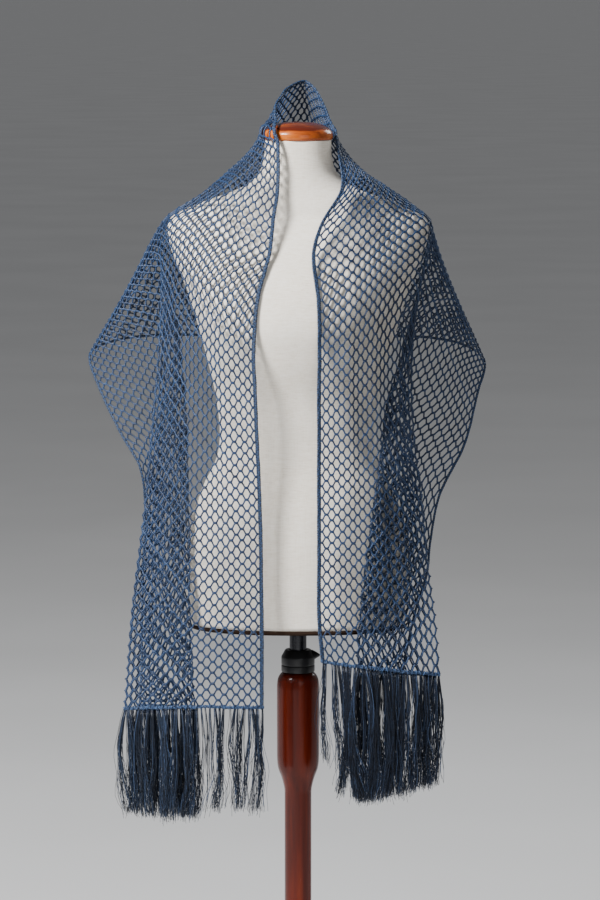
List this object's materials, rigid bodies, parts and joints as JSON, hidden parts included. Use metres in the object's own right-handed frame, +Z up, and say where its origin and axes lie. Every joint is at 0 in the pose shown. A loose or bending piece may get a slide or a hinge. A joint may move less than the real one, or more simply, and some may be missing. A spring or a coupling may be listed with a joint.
{
  "type": "net shawl with fringed ends on a dress form with stand",
  "caption": "Openwork net shawl with fringed ends, draped over a limbless dress form on a turned wooden stand that rises and turns.",
  "frame": {"origin": "centre of the underside of the base, where the stand meets the floor", "axes": "+Z up along the pole; the front of the form faces -Y; +X is to the right of a viewer who faces it"},
  "size_m": [0.6052, 0.35, 1.5428],
  "materials": {
    "net": "knotless net of lustrous yarn, soft sheen",
    "fringe": "cut lustrous yarn",
    "linen": "slubbed linen, matt",
    "cap_wood": "glossy varnish",
    "board": "dark stained edge",
    "tube_metal": "dark polished",
    "plastic": "moulded black",
    "stand_wood": "mahogany stain, glossy varnish"
  },
  "bodies": {
    "stand": {"base": "stand_wood", "pole": "stand_wood", "lock_collar": "plastic", "lock_lever": "plastic"},
    "mast": {"tube": "tube_metal"},
    "form": {"torso": "linen", "neck_cap": "cap_wood", "rim_board": "board", "shawl_front_left": "net", "shawl_shoulder_left": "net", "shawl_back": "net", "shawl_shoulder_right": "net", "shawl_front_right": "net", "fringe_left": "fringe", "fringe_right": "fringe"}
  },
  "joints": [
    {"name": "height_slide", "type": "slide", "parent": "stand", "child": "mast", "axis": [0, 0, 1], "range_m": [-0.03, 0.2]},
    {"name": "form_swivel", "type": "hinge", "parent": "mast", "child": "form", "pos_m": [0, 0, 0.79], "axis": [0, 0, 1], "continuous": true}
  ]
}
